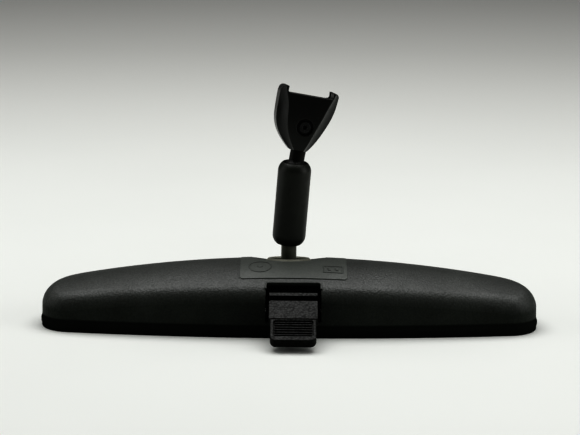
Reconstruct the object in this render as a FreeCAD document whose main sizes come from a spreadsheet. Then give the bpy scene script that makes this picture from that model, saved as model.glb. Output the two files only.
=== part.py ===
import FreeCAD, Part
import math
import os
import re

import Sketcher

# Interior rearview mirror with a day/night lever and a double ball arm, in millimetres.
# +X is to the right, +Y away from the viewer and +Z up. The mirror lies on its glass, so the
# rim rests on Z = 0, the edge with the lever faces -Y and the windshield mount stands on top.
# The origin is on the flat ring that the rim rests on, at the middle of the lever edge.

os.makedirs("parts", exist_ok=True)
doc = FreeCAD.newDocument("interior_rearview_mirror")
V = FreeCAD.Vector

SIZES = [
    # case outline, seen from above
    ("case_width", 254.0, "overall width across the rim"),
    ("case_depth", 64.0, "overall depth of the rim, lever edge to top edge"),
    ("near_edge_radius", 900.0, "bow of the lever edge"),
    ("far_edge_radius", 400.0, "arch of the top edge"),
    ("widest_offset", -9.0, "Y of the widest place of the outline"),
    # case section
    ("crown_height", 32.3, "height of the back's highest place"),
    ("crown_offset", -2.0, "Y of the back's highest line"),
    ("crown_cross_radius", 52.0, "radius of the back, front to rear"),
    ("crown_long_radius", 620.0, "radius of the back along its highest line"),
    ("shoulder_radius", 9.5, "rounding between wall and back"),
    ("rim_height", 6.6, "height of the bead around the front"),
    ("rim_bulge", 0.4, "how far the bead stands out of the wall"),
    ("rim_rounding", 3.0, "rounding of the bead"),
    ("wall_draft", 1.6, "draft of the wall, in degrees"),
    ("wall_thickness", 2.3, "thickness of the moulded wall"),
    ("lip_width", 4.9, "how far the front lip reaches in from the outline"),
    ("lip_thickness", 0.8, "thickness of the front lip"),
    # marks and openings in the back
    ("panel_width", 54.4, "raised plate on the back"),
    ("panel_depth", 30.1, "raised plate on the back"),
    ("panel_rise", 0.35, "height of the plate over the back"),
    ("panel_offset", 2.0, "X of the plate's middle"),
    ("panel_front", -22.0, "Y of the plate's front edge"),
    ("mark_rise", 0.25, "height of the plain marks over the plate"),
    ("mark_line", 0.6, "width of the marks' lines"),
    ("ring_radius", 5.95, "outside of the ring mark"),
    ("ring_x", -15.0, "middle of the ring mark"),
    ("ring_y", -11.2, "middle of the ring mark"),
    ("frame_width", 10.1, "frame mark"),
    ("frame_depth", 6.9, "frame mark"),
    ("frame_x", 22.1, "middle of the frame mark"),
    ("frame_y", -13.6, "middle of the frame mark"),
    ("dish_radius", 19.8, "hollow around the stud's collar"),
    ("dish_depth", 3.2, "depth of that hollow"),
    ("collar_base_radius", 13.0, "outside of the collar where it meets the hollow"),
    ("collar_top_radius", 10.7, "outside of the collar's rim"),
    ("collar_rise", -0.5, "height of the collar's rim over the back"),
    ("collar_lean", 10.5, "lean of the collar away from the viewer, in degrees"),
    ("collar_bore", 17.4, "opening that the stud stands in"),
    ("collar_spigot_radius", 10.4, "part of the collar that sits in the case"),
    ("stud_x", -0.5, "X of the lower ball stud"),
    ("stud_y", 12.0, "Y of the lower ball stud"),
    # lever
    ("lever_x", 2.0, "X of the lever's middle"),
    ("slot_width", 27.8, "opening for the lever"),
    ("slot_reach", 7.0, "how far the opening reaches into the back"),
    ("slot_floor", 8.0, "height where the opening starts"),
    ("slot_wall", 1.2, "thinned wall behind the opening, where the lever's heel passes"),
    ("slot_relief", 9.0, "how far that thin wall reaches behind the opening"),
    ("tab_gap", 1.6, "how much narrower than the opening the tab is, per side"),
    ("tab_reach", 24.5, "how far the tab stands out of the case"),
    ("tab_thickness", 4.5, "thickness of the tab"),
    ("tab_clearance", 3.0, "height of the tab's underside over the table"),
    ("heel_height", 23.6, "top of the lever's heel"),
    ("lever_pin_y", -23.0, "pin that the lever turns on"),
    ("lever_pin_z", 12.0, "pin that the lever turns on"),
    ("lever_pin_radius", 1.5, "pin that the lever turns on"),
    ("cam_offset", 4.2, "cam bar's distance from the lever pin"),
    ("cam_radius", 1.5, "radius of the cam bar"),
    ("lever_travel", 36.0, "turn of the lever, in degrees"),
    ("ridge_count", 6.0, "ridges of the thumb rest"),
    # bracket
    ("bracket_pin_y", 22.5, "pin that the bracket tilts on"),
    ("bracket_pin_z", 12.5, "pin that the bracket tilts on"),
    ("bracket_pin_radius", 2.0, "pin that the bracket tilts on"),
    ("bracket_width", 34.0, "width of the bracket's plate"),
    ("bracket_top", 22.1, "top of the bracket's plate"),
    ("plate_thickness", 2.6, "thickness of the bracket's plate"),
    ("ear_thickness", 2.5, "lugs of the case that hold the pins"),
    # ball joints and arm
    ("ball_radius", 6.2, "both ball studs"),
    ("stem_radius", 3.95, "both ball studs"),
    ("lower_ball_z", 41.9, "height of the lower ball's centre"),
    ("ball_spacing", 35.0, "distance between the ball centres"),
    ("tube_radius", 8.55, "outside of the arm"),
    ("tube_wall", 1.25, "wall of the arm"),
    ("tube_overhang", 5.3, "how far the arm reaches past each ball's centre"),
    ("tube_rounding", 5.8, "rounding of the arm's rolled ends"),
    ("mouth_grip", 0.45, "how much narrower than the ball each mouth is"),
    ("mouth_flare", 1.2, "how much wider the mouth is at its outer end"),
    ("mouth_depth", 2.2, "length of the flared part of the mouth"),
    ("socket_clearance", 0.3, "gap between ball and mouth"),
    ("arm_lean", 4.3, "lean of the arm to the right, in degrees"),
    ("liner_thickness", 0.7, "thin cap between ball and cup"),
    ("running_clearance", 0.05, "gap of pins and cups that turn"),
    ("free_clearance", 0.3, "gap between pieces that only pass each other"),
    ("cup_height", 4.8, "pressure cup behind each ball"),
    ("washer_thickness", 1.0, "washers at the ends of the arm's spring"),
    ("spring_wire", 1.3, "wire of the arm's spring"),
    ("spring_radius", 5.1, "mean radius of the arm's spring"),
    ("spring_turns", 5.0, "turns of the arm's spring"),
    # windshield mount
    ("mount_lean", 10.0, "lean of the mount to the right, in degrees"),
    ("mount_recline", 7.0, "lean of the mount away from the viewer, in degrees"),
    ("mount_turn", 7.0, "turn of the mount about its own axis, in degrees"),
    ("mount_width", 30.2, "widest place of the mount"),
    ("mount_bottom", 10.4, "start of the mount above the upper ball's centre"),
    ("mount_length", 32.0, "length of the mount"),
    ("mount_bow", 1.5, "how far the mount's waist stands to the left of the stud's axis"),
    ("mount_front", 8.2, "front face, from the stud's axis"),
    ("mount_back", 7.0, "face against the windshield, from the stud's axis"),
    ("channel_width", 25.6, "room for the windshield button at the open end"),
    ("channel_taper", 2.0, "how much narrower the channel is at its closed end, per side"),
    ("channel_depth", 3.8, "room for the windshield button, front to back"),
    ("channel_lip", 2.1, "how far each hook reaches over the button"),
    ("web_drop", 3.3, "how far the web ends below the two rails"),
    ("rail_tip", 3.4, "width of each rail's tip"),
    ("rail_round", 2.6, "rounding of the rails' outer corners"),
    ("hook_thickness", 1.9, "thickness of the hooks"),
    ("channel_start", 23.4, "start of the straight part of the channel"),
    ("screw_height", 22.9, "set screw above the upper ball's centre"),
    ("screw_thread_radius", 2.0, "set screw's thread"),
    ("screw_head_radius", 2.85, "set screw's head"),
    ("counterbore_radius", 4.2, "sink around the screw's head"),
    ("star_radius", 1.35, "star drive of the screw"),
    ("leaf_thickness", 0.5, "steel leaf that the screw presses on the button"),
    # mirror
    ("glass_gap", 0.3, "gap around the glass"),
    ("glass_near", 2.4, "glass thickness at the lever edge"),
    ("glass_far", 4.8, "glass thickness at the top edge"),
    ("silver_thickness", 0.15, "reflecting layer on the back of the glass"),
    ("pad_x", 72.0, "foam pads behind the glass, from the middle"),
    ("pad_top", 9.0, "underside of the ribs that press on the pads"),
]

sheet = doc.addObject("Spreadsheet::Sheet", "Sizes")
for row, (alias, value, meaning) in enumerate(SIZES, start=1):
    sheet.set(f"A{row}", alias)
    sheet.set(f"B{row}", str(value))
    sheet.set(f"C{row}", meaning)
    sheet.setAlias(f"B{row}", alias)
doc.recompute()

ALIAS = re.compile(r"\b(" + "|".join(alias for alias, _, _ in SIZES) + r")\b")


def formula(text):
    """A formula in the sheet's aliases, as the expression engine reads it."""
    return ALIAS.sub(r"Sizes.\1", text)


def size(text):
    """The number that a formula in the sheet's aliases gives."""
    return float(sheet.evalExpression(formula(text)))


def bind(thing, **formulas):
    for name, text in formulas.items():
        thing.setExpression(name, formula(text))
    return thing


def put(thing, x, y, z, axis=(0, 0, 1), angle="0"):
    """Bind a Placement: a place and a turn in degrees about an axis."""
    turn = f"rotation(vector({axis[0]}; {axis[1]}; {axis[2]}); {angle})"
    thing.setExpression("Placement", formula(f"placement(vector({x}; {y}; {z}); {turn})"))
    return thing


def box(name, x, y, z):
    """A box from three (low, high) pairs of formulas."""
    it = doc.addObject("Part::Box", name)
    bind(it, Length=f"{x[1]} - ({x[0]})", Width=f"{y[1]} - ({y[0]})", Height=f"{z[1]} - ({z[0]})")
    return put(it, x[0], y[0], z[0])


ALONG = {"x": ((0, 1, 0), "90"), "y": ((1, 0, 0), "-90"), "z": ((0, 0, 1), "0")}


def cylinder(name, radius, height, x, y, z, along="z"):
    """A cylinder from its start point, along one axis."""
    it = bind(doc.addObject("Part::Cylinder", name), Radius=radius, Height=height)
    return put(it, x, y, z, *ALONG[along])


def cone(name, low_radius, high_radius, height, x, y, z, along="z"):
    it = bind(doc.addObject("Part::Cone", name), Radius1=low_radius, Radius2=high_radius, Height=height)
    return put(it, x, y, z, *ALONG[along])


def sphere(name, radius, x="0", y="0", z="0"):
    return put(bind(doc.addObject("Part::Sphere", name), Radius=radius), x, y, z)


def fuse(name, *pieces):
    it = doc.addObject("Part::MultiFuse", name)
    it.Shapes = list(pieces)
    return it


def common(name, first, second):
    it = doc.addObject("Part::Common", name)
    it.Base, it.Tool = first, second
    return it


def cut(name, base, *tools):
    it = doc.addObject("Part::Cut", name)
    it.Base = base
    it.Tool = tools[0] if len(tools) == 1 else fuse(name + "_tools", *tools)
    return it


def fixed(name, shape):
    """A shape made by Part's own functions."""
    it = doc.addObject("Part::Feature", name)
    it.Shape = shape
    return it


def sketch(body, name, role, corners):
    """A closed outline of straight lines on an origin plane, each corner bound to the sheet."""
    it = body.newObject("Sketcher::SketchObject", name)
    plane = next(f for f in body.Origin.OriginFeatures if f.Role == role)
    it.AttachmentSupport = [(plane, "")]
    it.MapMode = "FlatFace"
    places = [(size(u), size(v)) for u, v in corners]
    for start, end in zip(places, places[1:] + places[:1]):
        it.addGeometry(Part.LineSegment(V(*start, 0), V(*end, 0)), False)
    for line in range(len(corners)):
        it.addConstraint(Sketcher.Constraint("Coincident", line, 2, (line + 1) % len(corners), 1))
    for line, (formulas, place) in enumerate(zip(corners, places)):
        for kind, text, value in zip(("DistanceX", "DistanceY"), formulas, place):
            index = it.addConstraint(Sketcher.Constraint(kind, -1, 1, line, 1, value))
            it.setExpression(f"Constraints[{index}]", formula(text))
    return it


def turned(name, corners):
    """A PartDesign body turned about Z from an outline of (radius, height) corners."""
    body = doc.addObject("PartDesign::Body", name)
    outline = sketch(body, name + "_outline", "XZ_Plane", corners)
    turn = body.newObject("PartDesign::Revolution", name + "_turn")
    turn.Profile = outline
    turn.ReferenceAxis = (outline, ["V_Axis"])
    turn.Angle = 360
    return body


# ---------------------------------------------------------------- case outline
def outline(inset):
    """The face of the case's outline, moved in by inset: six arcs that run into each other."""
    half = size("case_width") / 2 - inset
    near = -size("case_depth") / 2 + inset
    far = size("case_depth") / 2 - inset
    near_radius = size("near_edge_radius") - inset
    far_radius = size("far_edge_radius") - inset
    level = size("widest_offset")
    arcs = []
    for side in (1, -1):
        for edge, big, sign in ((near, near_radius, -1), (far, far_radius, 1)):
            middle = edge - sign * big
            small = (big**2 - half**2 - (level - middle) ** 2) / (2 * (big - half))
            centre = V(side * (half - small), level, 0)
            reach = V(centre.x, level - middle, 0).normalize()
            touch = V(0, middle, 0) + reach * big
            bend = centre + (reach + V(side, 0, 0)).normalize() * small
            arcs.append(Part.Arc(touch, bend, V(side * half, level, 0)).toShape())
            if side == 1:
                mirrored = V(-touch.x, touch.y, 0)
                arcs.append(Part.Arc(touch, V(0, edge, 0), mirrored).toShape())
    return Part.Face(Part.Wire(Part.__sortEdges__(arcs)))


def prism(name, inset, low, high, draft=None):
    """The outline, moved in by inset, as a solid between two heights."""
    face = fixed(name + "_outline", outline(size(inset)))
    it = doc.addObject("Part::Extrusion", name)
    it.Base = face
    it.DirMode = "Custom"
    it.Dir = V(0, 0, 1)
    it.Solid = True
    bind(it, LengthFwd=f"{high} - ({low})")
    if draft:
        bind(it, TaperAngle=f"-{draft}")
    return put(it, "0", "0", low)


def crown(name, drop):
    """The round back as a ring lying on its edge, lowered by drop."""
    ring = doc.addObject("Part::Torus", name)
    bind(ring, Radius1="crown_long_radius - crown_cross_radius", Radius2=f"crown_cross_radius - ({drop})")
    return put(ring, "0", "crown_offset", "crown_height - crown_long_radius", (1, 0, 0), "90")


def rounded(name, base, radius, wanted):
    """Fillet the edges of a base that wanted picks."""
    doc.recompute()
    picked = [i for i, edge in enumerate(base.Shape.Edges, start=1) if wanted(edge)]
    it = doc.addObject("Part::Fillet", name)
    it.Base = base
    it.Edges = [(i, radius, radius) for i in picked]
    return it


def on_back(edge):
    """Edges where the wall meets the round back."""
    low = edge.BoundBox.ZMin
    return low > size("rim_height") + 4 and edge.Length > 5


# ---------------------------------------------------------------- mirror case
TAB_WIDTH = "(slot_width - 2 * tab_gap)"
LEVER_EARS = "(slot_width / 2 + free_clearance)"
BRACKET_EARS = "(bracket_width / 2 + free_clearance)"


def mirror_case():
    wall = prism("wall", "rim_bulge", "0", "crown_height + 5", "wall_draft")
    back = rounded("back", common("wall_and_crown", wall, crown("crown", "0")),
                   size("shoulder_radius"), on_back)
    bead = rounded("bead", prism("bead_block", "0", "0", "rim_height"),
                   size("rim_rounding"), lambda edge: edge.BoundBox.ZLength < 0.01)
    plate_region = box("plate_region", ("panel_offset - panel_width / 2", "panel_offset + panel_width / 2"),
                       ("panel_front", "panel_front + panel_depth"), ("20", "45"))
    plate_corners = rounded("plate_corners", plate_region, 2.0,
                            lambda edge: edge.BoundBox.ZLength > 20)
    plate = common("raised_plate", plate_corners, crown("plate_crown", "-panel_rise"))
    marks = common("raised_marks", plain_marks(), crown("mark_crown", "-panel_rise - mark_rise"))
    outer = fuse("outer_form", back, bead, plate, marks)

    hollow_block = common("hollow_block",
                          prism("hollow_wall", "rim_bulge + wall_thickness", "lip_thickness",
                                "crown_height + 5", "wall_draft"),
                          crown("hollow_crown", "wall_thickness"))
    hollow = rounded("hollow", hollow_block, size("shoulder_radius - wall_thickness"), on_back)
    front = prism("front_opening", "lip_width", "-1", "lip_thickness + 1")

    flare = "(dish_radius - collar_base_radius) / dish_depth"
    dish = on_collar(cone("dish", "collar_base_radius", f"dish_radius + 2 * {flare}", "dish_depth + 2",
                          "0", "0", "0"), DISH_FLOOR)
    bore = on_collar(cylinder("collar_seat", "collar_spigot_radius", "30", "0", "0", "0"), "-12")
    slot = box("slot", ("lever_x - slot_width / 2", "lever_x + slot_width / 2"),
               ("-case_depth / 2 - 5", "-case_depth / 2 + slot_reach"), ("slot_floor", "crown_height"))
    behind_slot = box("behind_slot", ("lever_x - slot_width / 2", "lever_x + slot_width / 2"),
                      ("-case_depth / 2 + slot_reach - 1", "-case_depth / 2 + slot_reach + slot_relief"),
                      ("slot_floor", "crown_height"))
    relief = common("slot_thinning", behind_slot, crown("thin_crown", "slot_wall"))
    shell = cut("shell", outer, hollow, front, dish, bore, slot, relief)

    backing = on_collar(cylinder("collar_backing", "collar_base_radius + 2.2", BACKING, "0", "0", "0"),
                        f"{DISH_FLOOR} - {BACKING}")
    seat = cut("collar_ring", common("collar_backing_inside", backing, back),
               on_collar(cylinder("collar_seat_again", "collar_spigot_radius", "30", "0", "0", "0"), "-12"))
    ribs = []
    ears = []
    for side, word in ((-1, "left"), (1, "right")):
        ribs.append(box(f"pad_rib_{word}", (f"{side} * pad_x - 1", f"{side} * pad_x + 1"),
                        ("-case_depth / 2 + 3", "case_depth / 2 - 3"), ("pad_top", "crown_height")))
        ears.append(ear(f"lever_ear_{word}", f"lever_x + {side} * {LEVER_EARS}", side,
                        "lever_pin_y", "lever_pin_z", "4.5"))
        ears.append(ear(f"bracket_ear_{word}", f"stud_x + {side} * {BRACKET_EARS}", side,
                        "bracket_pin_y", "bracket_pin_z", "5"))
    inside = common("inside", fuse("ribs_and_ears", *ribs, *ears), back)
    pins = [cylinder("lever_pin_bore", "lever_pin_radius", "60", "lever_x - 30", "lever_pin_y",
                     "lever_pin_z", "x"),
            cylinder("bracket_pin_bore", "bracket_pin_radius", "60", "stud_x - 30", "bracket_pin_y",
                     "bracket_pin_z", "x")]
    whole = cut("mirror_case", fuse("shell_with_lugs", shell, seat, inside), *pins)
    return whole


def ear(name, face_x, side, y, z, half):
    """A lug that hangs from the back and holds one end of a pin; face_x is its inner side."""
    low, high = (face_x, f"{face_x} + ear_thickness")
    if side < 0:
        low, high = (f"{face_x} - ear_thickness", face_x)
    return box(name, (low, high), (f"{y} - {half}", f"{y} + {half}"), (f"{z} - 4", "crown_height"))


# the collar stands on the floor of its dish, and both lean away from the viewer
COLLAR_Z = "(crown_height - crown_cross_radius + sqrt(crown_cross_radius^2 - (stud_y - crown_offset)^2))"
DISH_FLOOR = "(0.3 - dish_depth)"
BACKING = "(wall_thickness + 0.4)"


def on_collar(thing, height):
    """Stands a piece on the collar's leaning axis, at a height over the back."""
    return put(thing, "stud_x", f"stud_y + {height} * sin(collar_lean)",
               f"{COLLAR_Z} + {height} * cos(collar_lean)", (1, 0, 0), "-collar_lean")


def stud_collar():
    ring = on_collar(cone("collar_cone", "collar_base_radius", "collar_top_radius",
                          f"collar_rise - {DISH_FLOOR}", "0", "0", "0"), DISH_FLOOR)
    spigot = on_collar(cylinder("collar_spigot", "collar_spigot_radius", BACKING, "0", "0", "0"),
                       f"({DISH_FLOOR} - {BACKING})")
    hole = on_collar(cylinder("collar_hole", "collar_bore / 2", "30", "0", "0", "0"), "-12")
    funnel = on_collar(cone("collar_funnel", "collar_bore / 2", "collar_bore / 2 + 1.0", "0.8",
                            "0", "0", "0"), "(collar_rise - 0.7)")
    return cut("stud_collar", fuse("collar_solid", ring, spigot), hole, funnel)


def plain_marks():
    """A ring with a dot and a frame with two bars, without any lettering."""
    tall = ("20", "45")
    ring = cylinder("mark_ring", "ring_radius", "25", "ring_x", "ring_y", "20")
    ring_hole = cylinder("mark_ring_hole", "ring_radius - mark_line", "25", "ring_x", "ring_y", "20")
    dot = cylinder("mark_dot", "1.3", "25", "ring_x", "ring_y", "20")
    frame = box("mark_frame", ("frame_x - frame_width / 2", "frame_x + frame_width / 2"),
                ("frame_y - frame_depth / 2", "frame_y + frame_depth / 2"), tall)
    half_width = "(frame_width / 2 - mark_line)"
    half_depth = "(frame_depth / 2 - mark_line)"
    window = box("mark_window", (f"frame_x - {half_width}", f"frame_x + {half_width}"),
                 (f"frame_y - {half_depth}", f"frame_y + {half_depth}"), tall)
    bars = []
    for word, offset in (("left", "-1.9"), ("right", "1.9")):
        bars.append(box(f"mark_bar_{word}", (f"frame_x + {offset} - 0.7", f"frame_x + {offset} + 0.7"),
                        ("frame_y - 1.4", "frame_y + 1.4"), tall))
    return fuse("marks", cut("ring_line", ring, ring_hole), dot, cut("frame_line", frame, window), *bars)


# ---------------------------------------------------------------- mirror glass
SLOPE = "atan((glass_far - glass_near) / (case_depth - 2 * rim_bulge - 2 * wall_thickness))"
GLASS_INSET = "rim_bulge + wall_thickness + glass_gap"
NEAR_EDGE = "-case_depth / 2 + rim_bulge + wall_thickness"


def slanted(name, low, high):
    """A slab with the slope of the glass's back, from low to high over it at the lever edge."""
    it = bind(doc.addObject("Part::Box", name), Length="400", Width="200", Height=f"{high} - ({low})")
    place = (f"vector(-200; {NEAR_EDGE} - 60 * cos({SLOPE}) + ({low}) * -sin({SLOPE});"
             f" lip_thickness + glass_near - 60 * sin({SLOPE}) + ({low}) * cos({SLOPE}))")
    turn = f"rotation(vector(1; 0; 0); {SLOPE})"
    it.setExpression("Placement", formula(f"placement({place}; {turn})"))
    return it


def mirror_glass():
    block = prism("glass_block", GLASS_INSET, "lip_thickness", "lip_thickness + 12")
    return cut("mirror_glass", block, slanted("above_glass", "0", "40"))


def silver_backing():
    block = prism("silver_block", GLASS_INSET, "lip_thickness", "lip_thickness + 12")
    return common("silver_backing", block, slanted("silver_slab", "0", "silver_thickness"))


def glass_pad(side, word):
    block = box(f"pad_block_{word}", (f"{side} * pad_x - 7", f"{side} * pad_x + 7"),
                ("-20", "18"), ("1.5", "pad_top"))
    return cut(f"glass_pad_{word}", block, slanted(f"below_pad_{word}", "-40", "silver_thickness"))


# ---------------------------------------------------------------- lever and pins
def pin(name, radius, half_length, x, y, z):
    """A straight pin with broken edges."""
    body = turned(name, [("0", f"-({half_length})"), (f"{radius} - 0.3", f"-({half_length})"),
                         (radius, f"-({half_length}) + 0.3"), (radius, f"{half_length} - 0.3"),
                         (f"{radius} - 0.3", half_length), ("0", half_length)])
    return put(body, x, y, z, *ALONG["x"])


def toggle_lever():
    near = "-case_depth / 2"
    tip_y = f"{near} - tab_reach"
    face_y, face_z = f"{near} - 3.2", "heel_height - 2.9"
    lip_z = "(tab_clearance + tab_thickness)"
    profile = [(f"{near} + 4.8", "heel_height"), (f"{near} + 2.4", "heel_height"),
               (f"{near} + 1.5", "heel_height - 0.5"), (f"{near} + 1.7", "heel_height - 1.9"),
               (f"{near} + 3.2", "heel_height - 2.9"), (f"{near} + 2.8", "heel_height - 4.9"),
               (f"{near} - 1.6", "heel_height - 5.1"), (face_y, face_z),
               (f"{tip_y} + 1.4", f"{lip_z}"), (f"{tip_y} + 0.3", f"{lip_z} - 0.4"),
               (tip_y, f"{lip_z} - 1.4"), (f"{tip_y} + 0.3", f"{lip_z} - tab_thickness + 0.6"),
               (f"{tip_y} + 1.2", f"{lip_z} - tab_thickness"),
               (f"{tip_y} + 3.2", f"{lip_z} - tab_thickness + 0.3"), (f"{near} - 7", "heel_height - 11.2"),
               (f"{near} - 1", "heel_height - 9"), (f"{near} + 3.5", "lever_pin_z - 2.5"),
               ("lever_pin_y - 3.4", "lever_pin_z - 2.5"), ("lever_pin_y - 3.4", "lever_pin_z + 6")]
    body = doc.addObject("PartDesign::Body", "lever_tab")
    side = sketch(body, "lever_side", "YZ_Plane", profile)
    pad = bind(body.newObject("PartDesign::Pad", "lever_pad"), Length=TAB_WIDTH)
    pad.Profile = side
    pad.Midplane = True
    put(body, "lever_x", "0", "0")

    heel = box("lever_heel", ("lever_x - slot_width / 2 + free_clearance",
                              "lever_x + slot_width / 2 - free_clearance"),
               (f"{near} + 2.8", f"{near} + 4.8"), ("heel_height - 1.8", "heel_height"))
    rest, ridges = thumb_rest(tip_y, lip_z, face_y, face_z)
    pieces = [body, heel]
    for side_sign, word in ((-1, "left"), (1, "right")):
        inner = f"lever_x + {side_sign} * 7"
        outer = f"lever_x + {side_sign} * {TAB_WIDTH} / 2"
        reach = (inner, outer) if side_sign > 0 else (outer, inner)
        pieces.append(box(f"lever_cheek_{word}", reach, ("lever_pin_y - 5.5", "lever_pin_y + 6"),
                          ("lever_pin_z - 3", "lever_pin_z + 4")))
    pieces.append(cylinder("cam_bar", "cam_radius", "15", "lever_x - 7.5",
                           "lever_pin_y + cam_offset * cos(lever_travel / 2)",
                           "lever_pin_z + cam_offset * sin(lever_travel / 2)", "x"))
    hole = cylinder("lever_hole", "lever_pin_radius + running_clearance", "60", "lever_x - 30",
                    "lever_pin_y", "lever_pin_z", "x")
    return fuse("toggle_lever", cut("lever_blank", fuse("lever_solid", *pieces), hole, rest), *ridges)


def thumb_rest(tip_y, lip_z, face_y, face_z):
    """A shallow pocket in the tab's face and the ridges that stand in it."""
    run = f"({face_y}) - ({tip_y} + 1.4)"
    fall = f"({face_z}) - {lip_z}"
    slope = f"atan(({fall}) / ({run}))"
    length, width, depth = "10.8", f"({TAB_WIDTH} - 5)", "0.8"
    start_y, start_z = f"{tip_y} + 1.4", lip_z

    def along(name, distance, high, low, wide, long):
        """A box on the sloping face, distance up from the tip."""
        it = bind(doc.addObject("Part::Box", name), Length=wide, Width=long, Height=f"{high} - ({low})")
        place = (f"vector(lever_x - ({wide}) / 2;"
                 f" {start_y} + ({distance}) * cos({slope}) - ({low}) * sin({slope});"
                 f" {start_z} + ({distance}) * sin({slope}) + ({low}) * cos({slope}))")
        turn = f"rotation(vector(1; 0; 0); {slope})"
        it.setExpression("Placement", formula(f"placement({place}; {turn})"))
        return it

    rest = rounded("thumb_rest", along("thumb_rest_block", "2.4", "3", f"-{depth}", width, length),
                   2.0, lambda edge: abs(edge.Length - 3.8) < 0.01)
    count = int(size("ridge_count"))
    pitch = f"({length}) / ridge_count"
    ridges = [along(f"ridge_{i}", f"2.4 + ({i} + 0.3) * {pitch}", "-0.2", f"-{depth} - 0.2",
                    f"{width} - 1.2", f"0.45 * {pitch}") for i in range(count)]
    return rest, ridges


# ---------------------------------------------------------------- bracket
def pivot_bracket():
    low = "bracket_top - plate_thickness"
    half = "bracket_width / 2"
    cam_y = "lever_pin_y + cam_offset * cos(lever_travel / 2)"
    cam_z = "lever_pin_z + cam_offset * sin(lever_travel / 2)"
    plate = box("bracket_plate", (f"stud_x - {half}", f"stud_x + {half}"), ("-13", "bracket_pin_y - 2"),
                (low, "bracket_top"))
    plate_round = rounded("bracket_plate_round", plate, 3.0, lambda edge: abs(edge.BoundBox.ZLength) > 1)
    knuckle = cylinder("bracket_knuckle", "bracket_pin_radius + 2", "bracket_width", f"stud_x - {half}",
                       "bracket_pin_y", "bracket_pin_z", "x")
    web = box("bracket_web", (f"stud_x - {half}", f"stud_x + {half}"),
              ("bracket_pin_y - 3.9", "bracket_pin_y - 0.5"), ("bracket_pin_z", low))
    flanges = [box(f"bracket_flange_{word}", (f"stud_x + {x} - 1", f"stud_x + {x} + 1"),
                   ("-12", "bracket_pin_y"), (f"{low} - 3.5", low))
               for x, word in (("-(bracket_width / 2 - 1)", "left"), ("(bracket_width / 2 - 1)", "right"))]
    neck = box("fork_neck", ("lever_x - 5", "lever_x + 5"), (f"{cam_y} + 3.2", f"{cam_y} + 6.6"),
               (f"{cam_z} - 4.4", low))
    upper = box("fork_upper", ("lever_x - 5", "lever_x + 5"), (f"{cam_y} - 1.3", f"{cam_y} + 6.6"),
                (f"{cam_z} + cam_radius + free_clearance", f"{cam_z} + 4.2"))
    lower = box("fork_lower", ("lever_x - 5", "lever_x + 5"), (f"{cam_y} - 1.3", f"{cam_y} + 6.6"),
                (f"{cam_z} - 4.4", f"{cam_z} - cam_radius - free_clearance"))
    pocket = cylinder("stud_hole", "stem_radius - 1", "20", "stud_x", "stud_y", "bracket_top - 10")
    hole = cylinder("knuckle_hole", "bracket_pin_radius + running_clearance", "60", "stud_x - 30",
                    "bracket_pin_y", "bracket_pin_z", "x")
    return cut("pivot_bracket", fuse("bracket_solid", plate_round, knuckle, web, *flanges, neck, upper,
                                     lower), pocket, hole)


def rivet_washer():
    """The washer that the lower stud is riveted over, under the bracket's plate."""
    low = "bracket_top - plate_thickness"
    ring = turned("rivet_washer", [("stem_radius - 1", "-1"), ("6.2", "-1"), ("6.2", "0"),
                                   ("stem_radius - 1", "0")])
    return put(ring, "stud_x", "stud_y", low)


def detent_leaf():
    """A leaf under the bracket that bears on the lever's cam and holds it in both places."""
    low = "bracket_top - plate_thickness"
    body = doc.addObject("PartDesign::Body", "detent_leaf")
    cam_y = "lever_pin_y + cam_offset * cos(lever_travel / 2)"
    side = sketch(body, "leaf_side", "YZ_Plane",
                  [("crown_offset - 6.6", low), ("crown_offset - 6.6", f"{low} - 0.5"),
                   (f"{cam_y} + 7.4", f"{low} - 0.5"), (f"{cam_y} + 7.4", f"{low} - 4.6"),
                   (f"{cam_y} + 6.9", f"{low} - 4.6"), (f"{cam_y} + 6.9", low)])
    pad = bind(body.newObject("PartDesign::Pad", "leaf_pad"), Length="6")
    pad.Profile = side
    pad.Midplane = True
    return put(body, "lever_x", "0", "0")


# ---------------------------------------------------------------- ball joints and arm
def ball_stud(name, length, rivet):
    """A ball on a stem that runs down from the ball's centre, with a thinner riveted end."""
    ball = sphere(name + "_ball", "ball_radius")
    stem = cylinder(name + "_stem", "stem_radius", length, "0", "0", f"-({length})")
    end = cylinder(name + "_end", "stem_radius - 1", rivet, "0", "0", f"-({length}) - ({rivet})")
    return fuse(name, ball, stem, end)


def ball_liner(name):
    """A thin cap of a sphere that lies on a ball, open to 55 degrees from its own axis."""
    inner = "(ball_radius + running_clearance)"
    outer = f"({inner} + liner_thickness)"
    shell = cut(name + "_shell", sphere(name + "_outer", outer), sphere(name + "_inner", inner))
    keep = cylinder(name + "_keep", "20", "20", "0", "0", f"{outer} * cos(55)")
    return common(name, shell, keep)


CUP_FOOT = "4.3"
CUP_TOP = f"({CUP_FOOT} + cup_height)"


def pressure_cup(name):
    """A cup that turns in the arm's bore and presses on the liner."""
    bore = "(tube_radius - tube_wall)"
    hollow = "(ball_radius + running_clearance * 2 + liner_thickness)"
    block = cylinder(name + "_block", f"{bore} - running_clearance", "cup_height", "0", "0", CUP_FOOT)
    relief = cylinder(name + "_relief", "2.6", "20", "0", "0", "0")
    return cut(name, block, sphere(name + "_hollow", hollow), relief)


def thrust_washer(name):
    return turned(name, [("2.6", f"{CUP_TOP} + running_clearance"),
                         ("tube_radius - tube_wall - 0.1", f"{CUP_TOP} + running_clearance"),
                         ("tube_radius - tube_wall - 0.1",
                          f"{CUP_TOP} + running_clearance + washer_thickness"),
                         ("2.6", f"{CUP_TOP} + running_clearance + washer_thickness")])


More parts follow.
